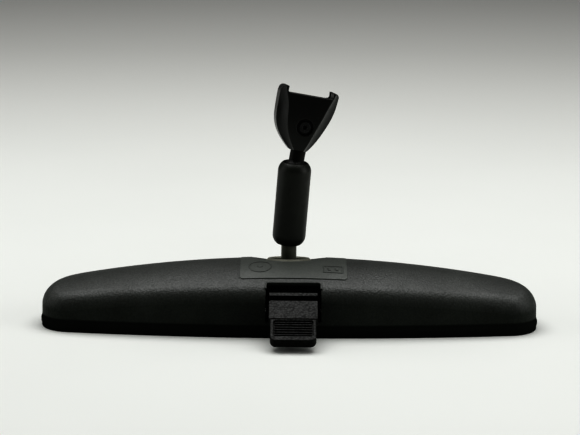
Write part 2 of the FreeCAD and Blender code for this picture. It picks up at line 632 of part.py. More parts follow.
def arm_tube():
    """The arm: a drawn tube whose ends are rolled in over the two balls."""
    low = "-tube_overhang"
    high = "(ball_spacing + tube_overhang)"
    body = turned("arm_blank", [("0", low), ("tube_radius", low), ("tube_radius", high), ("0", high)])
    doc.recompute()
    soft = rounded("arm_soft_ends", body, size("tube_rounding"),
                   lambda edge: edge.BoundBox.ZLength < 0.01)
    bore_start = "1"
    bore = cylinder("arm_bore", "tube_radius - tube_wall", f"ball_spacing - 2 * {bore_start}",
                    "0", "0", bore_start)
    socket = "ball_radius + socket_clearance"
    narrow = "(ball_radius - mouth_grip)"
    wide = f"{narrow} + mouth_flare"
    lower_end = "-(tube_overhang + 0.01)"
    upper_end = "(ball_spacing + tube_overhang + 0.01)"
    return cut("arm_tube", soft, bore,
               sphere("lower_socket", socket), sphere("upper_socket", socket, "0", "0", "ball_spacing"),
               cone("lower_mouth", wide, narrow, "mouth_depth", "0", "0", lower_end),
               cone("upper_mouth", narrow, wide, "mouth_depth", "0", "0", f"{upper_end} - mouth_depth"),
               cylinder("lower_throat", narrow, "tube_overhang", "0", "0",
                        f"{lower_end} + mouth_depth - 0.1"),
               cylinder("upper_throat", narrow, "tube_overhang", "0", "0",
                        f"{upper_end} - mouth_depth - tube_overhang + 0.1"))


def arm_spring():
    """A coil between the two washers."""
    gap = size("running_clearance")
    wire = size("spring_wire") / 2
    start = size(f"{CUP_TOP} + running_clearance + washer_thickness") + gap + wire
    length = size("ball_spacing") - 2 * start
    radius = size("spring_radius")
    helix = Part.makeHelix(length / size("spring_turns"), length, radius)
    section = Part.Wire(Part.makeCircle(wire, V(radius, 0, 0), V(0, 1, 0)))
    coil = Part.Wire(helix.Edges).makePipeShell([section], True, True)
    coil.translate(V(0, 0, start))
    return fixed("arm_spring", coil)


# ---------------------------------------------------------------- windshield mount
def mount_section(height):
    """One level of the mount: flat face, two hollow flanks, two sides and a flat back."""
    part_up = (height - size("mount_bottom")) / size("mount_length")
    half = size("mount_width") / 2 * (1 - (1 - part_up) ** 3.0 * 0.7)
    flank = 2.2 + 3.2 * math.sin(math.pi * min(1.0, part_up)) ** 0.8
    face = half - flank
    front = -size("mount_front") + 2.2 * (1 - part_up) ** 3
    side = front + 0.85 * flank + 1.4
    back = size("mount_back") + 0.4 - 2.6 * (1 - min(1.0, 3.2 * part_up)) ** 2
    middle = -size("mount_bow") * math.exp(-(((part_up - 0.3) / 0.33) ** 2))
    left = [V(middle - half, back, height), V(middle - half, side, height), V(middle - face, front, height)]
    right = [V(2 * middle - p.x, p.y, height) for p in reversed(left)]
    hollow = 0.09 * flank

    def flank_arc(start, end):
        chord = end - start
        outward = V(chord.y, -chord.x, 0).normalize()
        return Part.Arc(start, (start + end) * 0.5 - outward * hollow, end).toShape()

    edges = [Part.makeLine(left[0], left[1]), flank_arc(left[1], left[2]),
             Part.makeLine(left[2], right[0]), flank_arc(right[0], right[1]),
             Part.makeLine(right[1], right[2]), Part.makeLine(right[2], left[0])]
    return Part.Wire(edges)


def windshield_mount():
    bottom, length = size("mount_bottom"), size("mount_length")
    levels = [0, 0.05, 0.13, 0.24, 0.38, 0.55, 0.75, 1]
    body = fixed("mount_body", Part.makeLoft([mount_section(bottom + length * up) for up in levels], True))
    stem_socket = cylinder("stem_socket", "stem_radius", "4", "0", "0", "mount_bottom - 1")
    rivet_socket = cylinder("rivet_socket", "stem_radius - 1", "5", "0", "0", "mount_bottom + 2")
    counterbore = cylinder("counterbore", "counterbore_radius", "4", "0", "-mount_front - 2",
                           "screw_height", "y")
    thread = cylinder("screw_bore", "screw_thread_radius + running_clearance", "20", "0",
                      "-mount_front - 1", "screw_height", "y")
    top = "mount_bottom + mount_length"
    flat_back = box("flat_back", ("-mount_width", "mount_width"), ("mount_back", "mount_back + 5"),
                    ("mount_bottom - 1", f"{top} + 1"))
    notch_corner = 1.2
    notch_block = box("web_notch_block", ("-mount_width / 2 + rail_tip", "mount_width / 2 - rail_tip"),
                      ("-mount_front - 1", "mount_back + 6"), (f"{top} - web_drop", f"{top} + 6"))
    web_notch = rounded("web_notch", notch_block, notch_corner,
                        lambda edge: edge.BoundBox.YLength > 5 and edge.BoundBox.ZMax < size(top))
    tips = rail_corners(top)
    room = channel("channel", "0", "channel_depth", "0")
    mouth = channel("channel_mouth", "channel_depth - 0.01", "channel_depth + hook_thickness + 2",
                    "channel_lip")
    return cut("windshield_mount", body, flat_back, web_notch, *tips, room, mouth,
               stem_socket, rivet_socket, counterbore, thread)


def rail_corners(top):
    """What rounds off the outer top corners of the two rails."""
    corners = []
    for side, word in ((-1, "left"), (1, "right")):
        edge = f"{side} * (mount_width / 2 - rail_round)"
        low, high = (edge, f"{edge} + rail_round + 1") if side > 0 else (f"{edge} - rail_round - 1", edge)
        block = box(f"rail_block_{word}", (low, high), ("-mount_front - 1", "mount_back + 6"),
                    (f"{top} - rail_round", f"{top} + 1"))
        curve = cylinder(f"rail_curve_{word}", "rail_round", "40", edge, "-mount_front - 2",
                         f"{top} - rail_round", "y")
        corners.append(cut(f"rail_corner_{word}", block, curve))
    return corners


CHANNEL_FRONT = "(mount_back - hook_thickness - channel_depth)"


def channel(name, front, back, lip):
    """A tapered channel for the windshield button, open at the top end, between two depths."""
    top = "(mount_bottom + mount_length + 1)"
    wide = f"(channel_width / 2 - {lip})"
    narrow = f"(channel_width / 2 - channel_taper - {lip})"
    body = doc.addObject("PartDesign::Body", name)
    face = sketch(body, name + "_outline", "XZ_Plane",
                  [(f"-{wide}", top), (f"-{narrow}", "channel_start"),
                   (f"-{narrow} + 3.6", "channel_start - 4"), (f"{narrow} - 3.6", "channel_start - 4"),
                   (narrow, "channel_start"), (wide, top)])
    pad = bind(body.newObject("PartDesign::Pad", name + "_pad"), Length=f"{back} - ({front})")
    pad.Profile = face
    pad.Reversed = True
    return put(body, "0", f"{CHANNEL_FRONT} + ({front})", "0")


def set_screw():
    """A headed set screw with a star drive, along -Y to +Y."""
    star_points = 6
    tip = "mount_front + mount_back - hook_thickness - channel_depth - leaf_thickness"
    star_depth = 1.6
    shank = cylinder("screw_shank", "screw_thread_radius", f"{tip} - 1.2", "0", "-mount_front + 1.2",
                     "screw_height", "y")
    head = cylinder("screw_head", "screw_head_radius", "1.6", "0", "-mount_front + 0.4",
                    "screw_height", "y")
    corners = []
    for i in range(2 * star_points):
        reach = size("star_radius") * (1 if i % 2 == 0 else 0.68)
        angle = math.pi * i / star_points
        corners.append(V(reach * math.cos(angle), -size("mount_front") - 1,
                         size("screw_height") + reach * math.sin(angle)))
    star = Part.Face(Part.makePolygon(corners + corners[:1])).extrude(V(0, 1 + star_depth, 0))
    return cut("set_screw", fuse("screw_solid", shank, head), fixed("star_drive", star))


def pressure_leaf():
    """A thin steel leaf on the channel's floor; the set screw pushes it against the button."""
    top = "mount_bottom + mount_length - web_drop - 0.4"
    wide = "(channel_width / 2 - channel_lip - 2.4)"
    block = box("pressure_leaf", (f"-{wide}", wide),
                (CHANNEL_FRONT, f"{CHANNEL_FRONT} + leaf_thickness"), ("channel_start - 2.2", top))
    return block


# ---------------------------------------------------------------- frames of the arm
# every piece is drawn about the middle of the outline; HOME then moves the origin to the rim's ring
REST_RING = "-case_depth / 2 + (rim_rounding + lip_width) / 2"


def turn_y(degrees):
    return FreeCAD.Rotation(V(0, 1, 0), degrees)


def turn_x(degrees):
    return FreeCAD.Rotation(V(1, 0, 0), degrees)


lower_ball = V(size("stud_x"), size("stud_y") - size(REST_RING), size("lower_ball_z"))
arm_turn = turn_y(size("arm_lean"))
upper_ball = lower_ball + arm_turn.multVec(V(0, 0, size("ball_spacing")))
stud_turn = turn_y(size("mount_lean")).multiply(turn_x(-size("mount_recline")))
mount_turn = stud_turn.multiply(FreeCAD.Rotation(V(0, 0, 1), size("mount_turn")))
HOME = FreeCAD.Placement(V(0, -size(REST_RING), 0), FreeCAD.Rotation())
FLIP = FreeCAD.Rotation(V(1, 0, 0), 180)
ON_ARM = FreeCAD.Placement(lower_ball, arm_turn)
ON_ARM_UPPER = FreeCAD.Placement(upper_ball, arm_turn.multiply(FLIP))
ON_STUD = FreeCAD.Placement(lower_ball, FreeCAD.Rotation())
ON_UPPER_LINER = FreeCAD.Placement(upper_ball, turn_y(size("mount_lean")).multiply(FLIP))
ON_UPPER_STUD = FreeCAD.Placement(upper_ball, mount_turn.multiply(FLIP))
ON_MOUNT = FreeCAD.Placement(upper_ball, mount_turn)

sub_parts = {
    "mirror_case": (mirror_case(), HOME),
    "stud_collar": (stud_collar(), HOME),
    "mirror_glass": (mirror_glass(), HOME),
    "silver_backing": (silver_backing(), HOME),
    "glass_pad_left": (glass_pad(-1, "left"), HOME),
    "glass_pad_right": (glass_pad(1, "right"), HOME),
    "lever_pivot_pin": (pin("lever_pivot_pin", "lever_pin_radius", f"{LEVER_EARS} + ear_thickness",
                            "lever_x", "lever_pin_y", "lever_pin_z"), HOME),
    "bracket_pivot_pin": (pin("bracket_pivot_pin", "bracket_pin_radius",
                              f"{BRACKET_EARS} + ear_thickness",
                              "stud_x", "bracket_pin_y", "bracket_pin_z"), HOME),
    "toggle_lever": (toggle_lever(), HOME),
    "pivot_bracket": (pivot_bracket(), HOME),
    "rivet_washer": (rivet_washer(), HOME),
    "detent_leaf": (detent_leaf(), HOME),
    "lower_ball_stud": (ball_stud("lower_ball_stud", "lower_ball_z - bracket_top",
                                  "plate_thickness + 1.4"), ON_STUD),
    "lower_ball_liner": (ball_liner("lower_ball_liner"), ON_STUD),
    "lower_pressure_cup": (pressure_cup("lower_pressure_cup"), ON_ARM),
    "lower_thrust_washer": (thrust_washer("lower_thrust_washer"), ON_ARM),
    "arm_tube": (arm_tube(), ON_ARM),
    "arm_spring": (arm_spring(), ON_ARM),
    "upper_thrust_washer": (thrust_washer("upper_thrust_washer"), ON_ARM_UPPER),
    "upper_pressure_cup": (pressure_cup("upper_pressure_cup"), ON_ARM_UPPER),
    "upper_ball_liner": (ball_liner("upper_ball_liner"), ON_UPPER_LINER),
    "upper_ball_stud": (ball_stud("upper_ball_stud", "mount_bottom + 2", "4"), ON_UPPER_STUD),
    "windshield_mount": (windshield_mount(), ON_MOUNT),
    "pressure_leaf": (pressure_leaf(), ON_MOUNT),
    "set_screw": (set_screw(), ON_MOUNT),
}

doc.recompute()
for label, (piece, place) in sub_parts.items():
    piece.Label = label
    local = piece.Placement
    piece.setExpression("Placement", None)
    piece.Placement = place.multiply(local)
doc.recompute()

for thing in doc.Objects:
    if "Invalid" in thing.State or "Error" in thing.State:
        raise RuntimeError(f"{thing.Name} did not build: {thing.State}")
for label, (piece, _) in sub_parts.items():
    shape = piece.Shape
    if shape.isNull() or not shape.isValid() or not shape.Solids:
        raise RuntimeError(f"{label} has no valid solid")
    shape.exportStep(f"parts/{label}.step")
    print(label, len(shape.Solids), round(shape.Volume, 1))
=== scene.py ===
import math

import bmesh
import bpy
from mathutils import Matrix, Vector


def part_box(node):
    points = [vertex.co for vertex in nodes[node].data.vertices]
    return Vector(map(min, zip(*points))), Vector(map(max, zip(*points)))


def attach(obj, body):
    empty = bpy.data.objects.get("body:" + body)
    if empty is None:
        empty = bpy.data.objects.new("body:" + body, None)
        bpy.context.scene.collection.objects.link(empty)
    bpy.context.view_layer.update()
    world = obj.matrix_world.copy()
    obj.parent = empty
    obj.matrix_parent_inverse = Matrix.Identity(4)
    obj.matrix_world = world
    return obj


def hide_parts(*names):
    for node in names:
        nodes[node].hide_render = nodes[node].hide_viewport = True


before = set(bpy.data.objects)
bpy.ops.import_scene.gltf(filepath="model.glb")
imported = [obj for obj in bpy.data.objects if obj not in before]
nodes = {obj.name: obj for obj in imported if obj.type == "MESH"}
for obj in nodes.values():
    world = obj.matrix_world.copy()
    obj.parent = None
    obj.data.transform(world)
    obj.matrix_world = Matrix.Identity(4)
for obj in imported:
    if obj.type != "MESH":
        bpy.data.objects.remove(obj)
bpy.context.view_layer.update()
MM = 0.001
BEVEL_SAMPLES = 6


# ---------------------------------------------------------------- node helpers
class Tree:
    """A material's node tree, with short calls for the nodes used here."""

    def __init__(self, name):
        self.material = bpy.data.materials.new(name)
        self.material.use_nodes = True
        self.tree = self.material.node_tree
        self.tree.nodes.clear()
        self.out = self.tree.nodes.new("ShaderNodeOutputMaterial")
        self.shader = self.tree.nodes.new("ShaderNodeBsdfPrincipled")
        self.tree.links.new(self.shader.outputs["BSDF"], self.out.inputs["Surface"])
        self.where = self.tree.nodes.new("ShaderNodeTexCoord").outputs["Object"]

    def node(self, kind, **settings):
        it = self.tree.nodes.new(kind)
        for key, value in settings.items():
            setattr(it, key, value)
        return it

    def link(self, source, target):
        self.tree.links.new(source, target)

    def feed(self, socket, value):
        """Sets a socket to a number or links it to an output."""
        if hasattr(value, "links"):
            self.link(value, socket)
        else:
            socket.default_value = value

    def noise(self, scale, detail=3.0, rough=0.55, where=None, warp=0.0):
        it = self.node("ShaderNodeTexNoise")
        self.link(where or self.where, it.inputs["Vector"])
        it.inputs["Scale"].default_value = scale
        it.inputs["Detail"].default_value = detail
        it.inputs["Roughness"].default_value = rough
        it.inputs["Distortion"].default_value = warp
        return it.outputs["Fac"]

    def cells(self, scale, smooth):
        it = self.node("ShaderNodeTexVoronoi", feature="SMOOTH_F1")
        self.link(self.where, it.inputs["Vector"])
        it.inputs["Scale"].default_value = scale
        it.inputs["Smoothness"].default_value = smooth
        return it.outputs["Distance"]

    def remap(self, value, low, high, to_low, to_high):
        it = self.node("ShaderNodeMapRange")
        for socket, given in zip(it.inputs, (value, low, high, to_low, to_high)):
            self.feed(socket, given)
        return it.outputs["Result"]

    def math(self, operation, first, second=0.0):
        it = self.node("ShaderNodeMath", operation=operation)
        self.feed(it.inputs[0], first)
        self.feed(it.inputs[1], second)
        return it.outputs["Value"]

    def mix(self, share, first, second):
        it = self.node("ShaderNodeMix", data_type="RGBA")
        self.feed(it.inputs[0], share)
        for socket, colour in ((it.inputs[6], first), (it.inputs[7], second)):
            self.feed(socket, colour if hasattr(colour, "links") else (*colour, 1.0))
        return it.outputs[2]

    def edges(self, radius, gain):
        """Rises to 1 near edges, within radius of them."""
        rounded = self.soft_normal(radius)
        plain = self.node("ShaderNodeNewGeometry").outputs["Normal"]
        dot = self.node("ShaderNodeVectorMath", operation="DOT_PRODUCT")
        self.link(rounded, dot.inputs[0])
        self.link(plain, dot.inputs[1])
        return self.remap(dot.outputs["Value"], 1.0, 1.0 - gain, 0.0, 1.0)

    def soft_normal(self, radius):
        """The surface normal with its sharp edges rounded over radius."""
        bevel = self.node("ShaderNodeBevel", samples=BEVEL_SAMPLES)
        bevel.inputs["Radius"].default_value = radius
        return bevel.outputs["Normal"]

    def within(self, axis, low, high, soft=0.0002):
        """1 where an object coordinate lies between low and high."""
        parts = self.node("ShaderNodeSeparateXYZ")
        self.link(self.where, parts.inputs["Vector"])
        value = parts.outputs[axis]
        return self.math("MULTIPLY", self.remap(value, low, low + soft, 0.0, 1.0),
                         self.remap(value, high - soft, high, 1.0, 0.0))

    def facing_up(self, low, high):
        """A value that goes from low on upright faces to high on level ones."""
        return self.remap(self.normal_up(), 0.05, 0.75, low, high)

    def normal_up(self):
        """The upward part of the surface normal."""
        parts = self.node("ShaderNodeSeparateXYZ")
        self.link(self.node("ShaderNodeNewGeometry").outputs["Normal"], parts.inputs["Vector"])
        return parts.outputs["Z"]

    def bump(self, height, distance, below=None):
        it = self.node("ShaderNodeBump")
        it.inputs["Strength"].default_value = 1.0
        it.inputs["Distance"].default_value = distance
        self.link(height, it.inputs["Height"])
        if below is not None:
            self.link(below, it.inputs["Normal"])
        return it.outputs["Normal"]

    def finish(self, colour, rough, normal=None, **sockets):
        self.feed(self.shader.inputs["Base Color"], colour)
        self.feed(self.shader.inputs["Roughness"], rough)
        if normal is not None:
            self.link(normal, self.shader.inputs["Normal"])
        for name, value in sockets.items():
            self.feed(self.shader.inputs[name.replace("_", " ")], value)
        return self.material


DUST = (0.24, 0.24, 0.22)


def shade(base, factor):
    """A colour made darker or paler by a factor."""
    return tuple(channel * factor for channel in base)


def moulded(name, base, rough, cell, height, wear=0.5, dust=0.0, painted_light_by_facing=(0.06, 0.5), pit=0.35,
            panel=None, painted_shade_height=None):
    """Injection moulded plastic with an etched grain of rounded cells, each about cell wide.

    panel is the X and Y extent of a smoother area, painted lighter as a painted sheen. Below a given height
    near the floor the surface is painted dark and dull, a painted shade along the bottom of the case.
    """
    t = Tree(name)
    grain = t.cells(1.0 / cell, smooth=0.5)
    fine = t.noise(2.6 / cell, 3.0, 0.6)
    relief = t.math("ADD", t.math("MULTIPLY", grain, 0.75), t.math("MULTIPLY", fine, 0.45))
    broad = t.noise(38.0, 4.0, 0.6, warp=0.3)
    tone = t.mix(t.remap(broad, 0.35, 0.68, 0.0, 1.0), shade(base, 0.86), shade(base, 1.14))
    pits = t.remap(grain, 0.15, 0.75, 0.0, 1.0)
    tone = t.mix(t.math("MULTIPLY", pits, pit), tone, shade(base, 0.4))
    tone = t.mix(t.math("MULTIPLY", t.edges(0.0006, 0.25), 0.45 * wear), tone, shade(base, 2.4))
    if dust:
        specks = t.remap(t.noise(900.0, 2.0, 0.7), 0.66, 0.74, 0.0, 1.0)
        share = t.math("MULTIPLY", t.remap(t.normal_up(), 0.4, 0.9, 0.0, dust), specks)
        tone = t.mix(share, tone, DUST)
    gloss = t.remap(t.noise(60.0, 4.0, 0.6), 0.3, 0.7, rough - 0.05, rough + 0.05)
    if panel:
        inside = t.math("MULTIPLY", t.within("X", *panel[0]), t.within("Y", *panel[1]))
        # Painted sheen: the smooth panel is painted lighter, standing in for the bright surroundings it
        # reflects; its grain relief is also made shallower.
        paler = t.mix(t.remap(fine, 0.3, 0.7, 0.0, 1.0), shade(base, 1.5), shade(base, 1.85))
        tone = t.mix(inside, tone, paler)
        relief = t.math("MULTIPLY", relief, t.remap(inside, 0.0, 1.0, 1.0, 0.35))
    lustre = t.remap(pits, 0.0, 1.0, 1.0 + 0.5 * pit, 1.0 - 0.9 * pit)
    # Specular strength follows the facing, weak on upright faces and strong on level ones: painted shade and
    # painted highlight standing in for how the overhead light falls.
    painted_facing_shine = t.math("MULTIPLY", t.facing_up(*painted_light_by_facing), lustre)
    # Painted shade: below the given height the case is darkened and its specular taken away, standing in for
    # the shade along its bottom near the floor.
    if painted_shade_height:
        above_painted_shade = t.within("Z", painted_shade_height, 1.0, soft=0.001)
        painted_facing_shine = t.math("MULTIPLY", painted_facing_shine, above_painted_shade)
        tone = t.mix(above_painted_shade, shade(base, 0.45), tone)
    normal = t.bump(relief, height, below=t.soft_normal(0.0004))
    return t.finish(tone, gloss, normal, Specular_IOR_Level=painted_facing_shine)


def coated(name, base, rough, peel=0.00002, wear=0.6, painted_light_by_facing=(0.3, 0.5), soft=0.0005):
    """Black coating on metal: orange peel, faint handling marks and rubbed edges; its specular strength is
    painted by facing, weak on upright faces as painted shade and strong on level ones as painted highlight.
    """
    t = Tree(name)
    waves = t.noise(1400.0, 3.0, 0.5)
    broad = t.noise(70.0, 4.0, 0.6, warp=0.4)
    tone = t.mix(t.remap(broad, 0.35, 0.7, 0.0, 1.0), shade(base, 0.85), shade(base, 1.2))
    tone = t.mix(t.math("MULTIPLY", t.edges(0.0005, 0.3), 0.4 * wear), tone, shade(base, 3.0))
    scuffs = t.remap(t.noise(160.0, 6.0, 0.7, warp=1.2), 0.52, 0.7, 0.0, 1.0)
    gloss = t.remap(scuffs, 0.0, 1.0, rough, rough + 0.12)
    normal = t.bump(waves, peel, below=t.soft_normal(soft))
    return t.finish(tone, gloss, normal, Specular_IOR_Level=t.facing_up(*painted_light_by_facing))


def steel(name, base, rough, along="Z"):
    """Drawn or stamped steel with fine lines and a few stains."""
    t = Tree(name)
    stretch = t.node("ShaderNodeMapping")
    t.link(t.where, stretch.inputs["Vector"])
    stretch.inputs["Scale"].default_value = [0.06 if axis == along else 1.0 for axis in "XYZ"]
    lines = t.noise(5200.0, 4.0, 0.6, where=stretch.outputs["Vector"])
    stains = t.noise(240.0, 4.0, 0.65, warp=0.8)
    tone = t.mix(t.remap(stains, 0.4, 0.7, 0.0, 1.0), base, shade(base, 0.72))
    gloss = t.remap(lines, 0.3, 0.7, rough - 0.07, rough + 0.1)
    return t.finish(tone, gloss, t.bump(lines, 0.000006), Metallic=1.0)


def clear_glass():
    """Clear glass with a faint haze."""
    t = Tree("glass")
    haze = t.noise(420.0, 5.0, 0.6, warp=0.5)
    gloss = t.remap(haze, 0.45, 0.75, 0.015, 0.06)
    tone = t.mix(t.remap(haze, 0.4, 0.7, 0.0, 1.0), (0.93, 0.97, 0.955), (0.90, 0.95, 0.93))
    return t.finish(tone, gloss, Transmission_Weight=1.0, IOR=1.52)


def silvering():
    """The reflecting layer behind the glass."""
    t = Tree("silver")
    cloud = t.noise(120.0, 5.0, 0.6, warp=0.6)
    tone = t.mix(t.remap(cloud, 0.4, 0.7, 0.0, 1.0), (0.93, 0.935, 0.93), (0.88, 0.885, 0.89))
    return t.finish(tone, t.remap(cloud, 0.3, 0.7, 0.02, 0.06), Metallic=1.0)


def foam():
    """Dark open-celled foam."""
    t = Tree("foam")
    holes = t.cells(1500.0, smooth=0.3)
    tone = t.mix(t.remap(holes, 0.1, 0.5, 0.0, 1.0), (0.05, 0.05, 0.05), (0.13, 0.13, 0.13))
    return t.finish(tone, t.remap(holes, 0.0, 0.6, 0.85, 0.98), t.bump(holes, 0.0003))


MARKS_PLATE = ((-0.0252, 0.0292), (0.00605, 0.0361))
# Height below which the case's bottom gets painted shade.
CASE_PAINTED_SHADE_HEIGHT = 0.0060
finishes = {
    "case": moulded("case_plastic", (0.044, 0.049, 0.043), 0.50, 0.00095, 0.00020, wear=0.3, dust=0.3,
                    painted_light_by_facing=(0.06, 0.95), pit=0.2, painted_shade_height=CASE_PAINTED_SHADE_HEIGHT, panel=MARKS_PLATE),
    "collar": moulded("collar_plastic", (0.21, 0.21, 0.17), 0.5, 0.0006, 0.00003, wear=0.3),
    "lever": moulded("lever_plastic", (0.016, 0.017, 0.015), 0.5, 0.0011, 0.00016, wear=0.8,
                     painted_light_by_facing=(0.08, 0.48), pit=0.5),
    "bracket": moulded("bracket_plastic", (0.06, 0.06, 0.062), 0.5, 0.0005, 0.00002),
    "nylon": moulded("seat_nylon", (0.62, 0.60, 0.54), 0.4, 0.0006, 0.00001),
    "glass": clear_glass(),
    "silver": silvering(),
    "foam": foam(),
    "pin": steel("pin_steel", (0.55, 0.55, 0.54), 0.3, along="X"),
    "spring": steel("spring_steel", (0.42, 0.42, 0.42), 0.35),
    "leaf": steel("leaf_steel", (0.66, 0.66, 0.65), 0.3),
    # One black coating in two copies: the lower ball stud's is painted pale as painted light, and the upper
    # one's is painted darker as painted shade.
    "stud": coated("stud_coated", (0.016, 0.017, 0.014), 0.42, painted_light_by_facing=(0.15, 0.4)),
    "painted_lit_stud": coated("stud_coated_painted_lit", (0.15, 0.155, 0.125), 0.42),
    "arm": coated("arm_coated", (0.020, 0.023, 0.017), 0.42, painted_light_by_facing=(0.4, 0.5)),
    "mount": coated("mount_coated", (0.008, 0.009, 0.007), 0.33, peel=0.00003, soft=0.0010,
                    painted_light_by_facing=(0.42, 0.7)),
    "screw": coated("screw_black", (0.03, 0.03, 0.03), 0.32),
}

node_finish = {
    "mirror_case": "case", "stud_collar": "collar", "mirror_glass": "glass",
    "silver_backing": "silver", "glass_pad_left": "foam", "glass_pad_right": "foam",
    "lever_pivot_pin": "pin", "bracket_pivot_pin": "pin", "toggle_lever": "lever",
    "pivot_bracket": "bracket", "rivet_washer": "pin", "detent_leaf": "leaf",
    "lower_ball_stud": "painted_lit_stud", "lower_ball_liner": "nylon", "lower_pressure_cup": "nylon",
    "lower_thrust_washer": "pin", "arm_tube": "arm", "arm_spring": "spring",
    "upper_thrust_washer": "pin", "upper_pressure_cup": "nylon", "upper_ball_liner": "nylon",
    "upper_ball_stud": "stud", "windshield_mount": "mount", "pressure_leaf": "leaf",
    "set_screw": "screw",
}
for name, finish in node_finish.items():
    nodes[name].data.materials.clear()
    nodes[name].data.materials.append(finishes[finish])


# ---------------------------------------------------------------- mesh helpers
def soft_outline(corners, steps=6):
    """A closed outline through corners (x, y, radius), each rounded by its radius."""
    points = []
    for i, (x, y, radius) in enumerate(corners):
        here = Vector((x, y))
        before = (Vector(corners[i - 1][:2]) - here).normalized()
        after = (Vector(corners[(i + 1) % len(corners)][:2]) - here).normalized()
        half = before.angle(after) / 2
        centre = here + (before + after).normalized() * (radius / math.sin(half))
        reach = radius / math.tan(half)
        start, end = here + before * reach, here + after * reach
        for k in range(steps + 1):
            points.append(centre + (start.lerp(end, k / steps) - centre).normalized() * radius)
    return points


def add_plate(mesh, place, outlines, low, high, soft):
    """Adds a plate with softened edges to a bmesh; the second and later outlines are holes."""
    curve = bpy.data.curves.new("outline", "CURVE")
    curve.dimensions = "2D"
    curve.fill_mode = "BOTH"
    curve.extrude = ((high - low) / 2 - soft) * MM
    curve.bevel_depth = soft * MM
    curve.bevel_resolution = 2
    curve.offset = -soft * MM
    for outline in outlines:
        line = curve.splines.new("POLY")
        line.points.add(len(outline) - 1)
        for point, given in zip(line.points, outline):
            point.co = (given.x * MM, given.y * MM, 0.0, 1.0)
        line.use_cyclic_u = True
    carrier = bpy.data.objects.new("outline", curve)
    shape = bpy.data.meshes.new_from_object(carrier)
    shape.transform(place @ Matrix.Translation((0, 0, (low + high) / 2 * MM)))
    mesh.from_mesh(shape)
    bpy.data.objects.remove(carrier)
    bpy.data.curves.remove(curve)
    bpy.data.meshes.remove(shape)


def add_block(mesh, low, high, soft):
    """Adds a box with rounded edges to a bmesh, between two corners in millimetres."""
    low, high = Vector(low), Vector(high)
    made = bmesh.ops.create_cube(mesh, size=1.0)["verts"]
    for vert in made:
        vert.co = (low + high) / 2 * MM + Vector(a * b for a, b in zip(vert.co, (high - low) * MM))
    edges = list({edge for vert in made for edge in vert.link_edges})
    bmesh.ops.bevel(mesh, geom=edges, offset=soft * MM, segments=3, profile=0.5, affect="EDGES")


def piece(name, mesh, body, slot, finish, *stands_for):
    """Turns a bmesh into a shown piece that moves with a body and may stand for CAD nodes."""
    data = bpy.data.meshes.new(name)
    mesh.to_mesh(data)
    mesh.free()
    data.shade_smooth()
    data.set_sharp_from_angle(angle=math.radians(38))
    data.materials.append(finishes[finish])
    obj = bpy.data.objects.new(name, data)
    bpy.context.scene.collection.objects.link(obj)
    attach(obj, body)
    if stands_for:
        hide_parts(*stands_for)


# ---------------------------------------------------------------- lever, in millimetres
# Places on the tab are measured from its tip, up its slope; levels are heights above its face.
LEVER_X = 2.0
SLOPE = math.radians(33.56)
TAB_TIP = Vector((LEVER_X, -27.05, 7.5))
TAB_LENGTH = 23.9
TAB_HALF = 12.3
TAB_CORNER = 0.8
REST_HALF = 11.4
REST_END = 11.5
POCKET_HALF = 9.7
POCKET_START, POCKET_END = 1.7, 11.1
RIDGES = 6
RIDGE_HALF, RIDGE_WIDTH = 9.2, 0.72
BODY_LEVELS = (-6.2, -0.9)
RIM_LEVELS = (-2.2, 0.0)
FACE_LEVELS = (-1.5, 0.35)
RIDGE_LEVELS = (-1.3, -0.3)
NECK_HALF, HEEL_HALF, BAR_HALF = 11.9, 12.3, 12.2
CHEEK_INNER, CHEEK_OUTER = 7.0, 13.6
ALONG_X = Matrix(((0, 0, 1, 0), (1, 0, 0, 0), (0, 1, 0, 0), (0, 0, 0, 1)))
on_tab = Matrix.Translation(TAB_TIP * MM) @ Matrix.Rotation(SLOPE, 4, "X")
on_lever = Matrix.Translation((LEVER_X * MM, 0, 0))


def across_tab(half, start, end, radius):
    """A rounded rectangle on the tab's face, centred on its middle line."""
    return [(-half, start, radius), (half, start, radius), (half, end, radius), (-half, end, radius)]


def add_thumb_rest(mesh):
    """The tab: a grained upper face, a step, and a rimmed thumb rest with ridges."""
    shoulder = REST_END + 0.9
    whole = soft_outline([(-REST_HALF, -1.3, 2.8), (REST_HALF, -1.3, 2.8), (REST_HALF, REST_END, 0.3),
                          (TAB_HALF, shoulder, 0.3), (TAB_HALF, TAB_LENGTH, TAB_CORNER),
                          (-TAB_HALF, TAB_LENGTH, TAB_CORNER), (-TAB_HALF, shoulder, 0.3),
                          (-REST_HALF, REST_END, 0.3)])
    pocket = soft_outline(across_tab(POCKET_HALF, POCKET_START, POCKET_END, 0.8))
    face, face_start = TAB_HALF - 0.1, REST_END + 0.5
    upper = soft_outline([(-face, face_start, 0.4), (face, face_start, 0.4),
                          (face, TAB_LENGTH, TAB_CORNER), (-face, TAB_LENGTH, TAB_CORNER)])
    add_plate(mesh, on_tab, [whole], *BODY_LEVELS, 1.5)
    add_plate(mesh, on_tab, [whole, pocket], *RIM_LEVELS, 0.4)
    add_plate(mesh, on_tab, [upper], *FACE_LEVELS, 0.35)
    pitch = (POCKET_END - POCKET_START) / RIDGES
    for i in range(RIDGES):
        low = POCKET_START + (i + 0.28) * pitch
        ridge = soft_outline(across_tab(RIDGE_HALF, low, low + RIDGE_WIDTH, 0.25), steps=2)
        add_plate(mesh, on_tab, [ridge], *RIDGE_LEVELS, 0.2)


